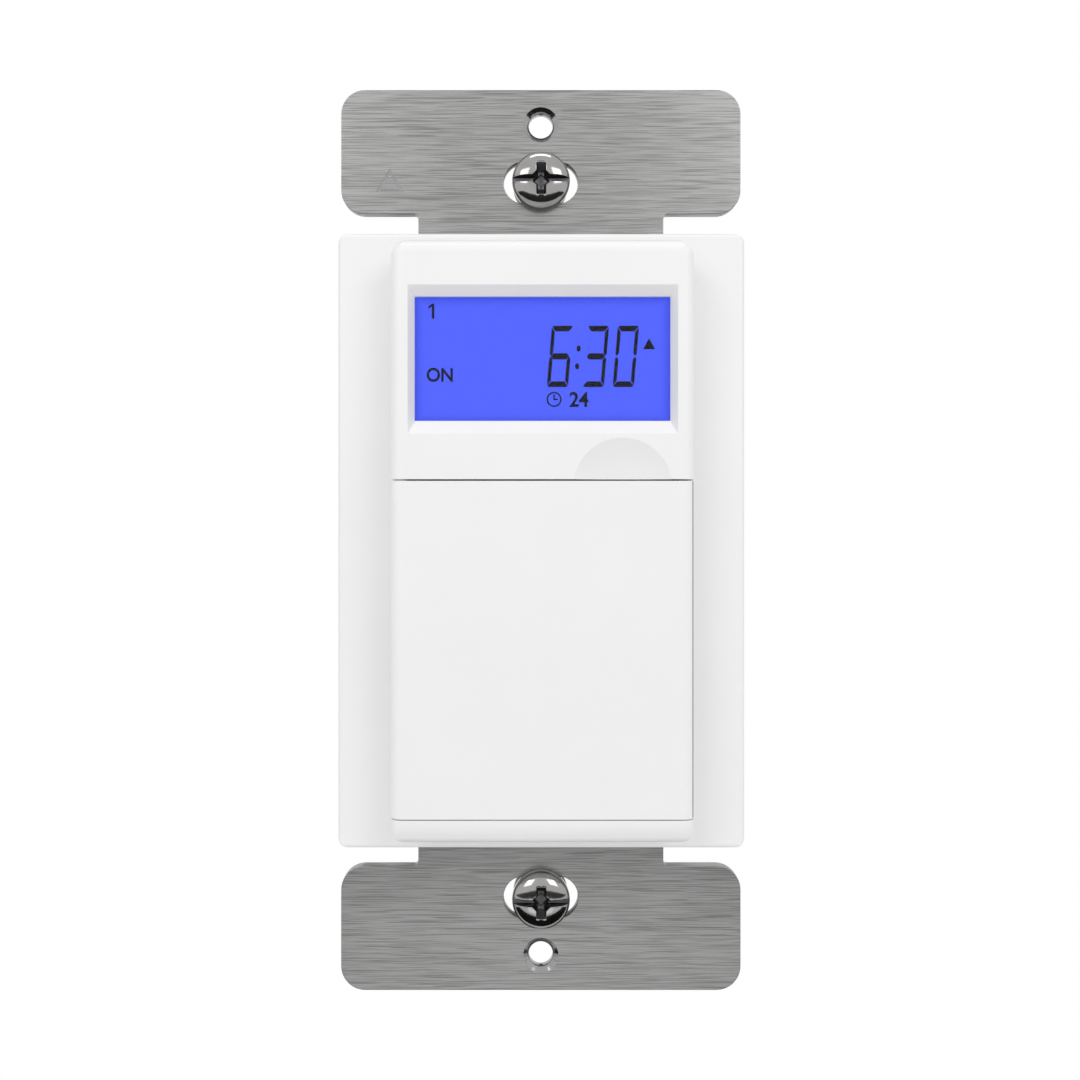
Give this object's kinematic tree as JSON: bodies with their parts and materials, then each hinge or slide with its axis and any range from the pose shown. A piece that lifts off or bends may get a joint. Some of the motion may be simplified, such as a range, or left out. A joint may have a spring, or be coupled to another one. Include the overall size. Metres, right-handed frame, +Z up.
{
  "type": "timer light switch",
  "caption": "In-wall programmable timer switch with a blue display, a hinged door over its keys and a steel strap.",
  "frame": {"origin": "centre of the strap's front plane, midway between the two wall-plate holes", "axes": "+X right and +Z up seen from the room, +Y into the wall"},
  "size_m": [0.0466, 0.0405, 0.105],
  "materials": {
    "brushed_steel": "brushed across its width",
    "white_plastic": "moulded satin",
    "clear_lens": "clear polished acrylic",
    "display_glass": "blue backlit display",
    "light_guide": "clear moulded light guide",
    "black_plastic": "moulded matt",
    "contact_rubber": "cut silicone strip",
    "circuit_board": "green solder mask",
    "zinc_screw": "zinc plated",
    "battery_steel": "nickel-plated can",
    "yellow_plastic": "moulded box",
    "capacitor_sleeve": "shrunk sleeve",
    "blue_coating": "dipped epoxy",
    "housing_plastic": "moulded fine texture",
    "nickel_screw": "nickel plated",
    "fibre_washer": "punched nylon",
    "brass": "stamped and turned",
    "green_screw": "dyed zinc plating",
    "key_plastic": "moulded satin"
  },
  "bodies": {
    "switch": {"mounting_strap": "brushed_steel", "front_bezel": "white_plastic", "lcd_lens": "clear_lens", "lcd_panel": "display_glass", "lcd_backlight": "light_guide", "lcd_holder": "black_plastic", "elastomer_connectors": "contact_rubber", "control_board": "circuit_board", "tact_switches": "black_plastic", "board_screws": "zinc_screw", "board_connector": "black_plastic", "backup_battery": "battery_steel", "power_board": "circuit_board", "relay": "black_plastic", "film_capacitor": "yellow_plastic", "electrolytic_capacitor": "capacitor_sleeve", "varistor": "blue_coating", "rear_housing": "housing_plastic", "housing_screws": "zinc_screw", "mounting_screws": "nickel_screw", "screw_washers": "fibre_washer", "terminal_plates": "brass", "wire_clamps": "brass", "terminal_screws": "brass", "ground_screw": "green_screw"},
    "door": {"door": "white_plastic"},
    "mode_button": {"key_mode": "key_plastic", "plunger_mode": "black_plastic"},
    "day_button": {"key_day": "key_plastic", "plunger_day": "black_plastic"},
    "hour_button": {"key_hour": "key_plastic", "plunger_hour": "black_plastic"},
    "minute_button": {"key_minute": "key_plastic", "plunger_minute": "black_plastic"},
    "set_button": {"key_set": "key_plastic", "plunger_set": "black_plastic"},
    "random_button": {"key_random": "key_plastic", "plunger_random": "black_plastic"},
    "on_off_button": {"key_on_off": "key_plastic", "plunger_on_off": "black_plastic"},
    "reset_button": {"key_reset": "key_plastic", "plunger_reset": "black_plastic"}
  },
  "joints": [
    {"name": "door_hinge", "type": "hinge", "parent": "switch", "child": "door", "pos_m": [-0.01535, -0.0079, -0.0116], "axis": [0, 0, -1], "range_deg": [0, 120]},
    {"name": "mode_press", "type": "slide", "parent": "switch", "child": "mode_button", "axis": [0, 1, 0], "range_m": [0, 0.00035], "stiffness_N_per_m": 1000},
    {"name": "day_press", "type": "slide", "parent": "switch", "child": "day_button", "axis": [0, 1, 0], "range_m": [0, 0.00035], "stiffness_N_per_m": 1000},
    {"name": "hour_press", "type": "slide", "parent": "switch", "child": "hour_button", "axis": [0, 1, 0], "range_m": [0, 0.00035], "stiffness_N_per_m": 1000},
    {"name": "minute_press", "type": "slide", "parent": "switch", "child": "minute_button", "axis": [0, 1, 0], "range_m": [0, 0.00035], "stiffness_N_per_m": 1000},
    {"name": "set_press", "type": "slide", "parent": "switch", "child": "set_button", "axis": [0, 1, 0], "range_m": [0, 0.00035], "stiffness_N_per_m": 1000},
    {"name": "random_press", "type": "slide", "parent": "switch", "child": "random_button", "axis": [0, 1, 0], "range_m": [0, 0.00035], "stiffness_N_per_m": 1000},
    {"name": "on_off_press", "type": "slide", "parent": "switch", "child": "on_off_button", "axis": [0, 1, 0], "range_m": [0, 0.00035], "stiffness_N_per_m": 1000},
    {"name": "reset_press", "type": "slide", "parent": "switch", "child": "reset_button", "axis": [0, 1, 0], "range_m": [0, 0.00035], "stiffness_N_per_m": 1000}
  ]
}
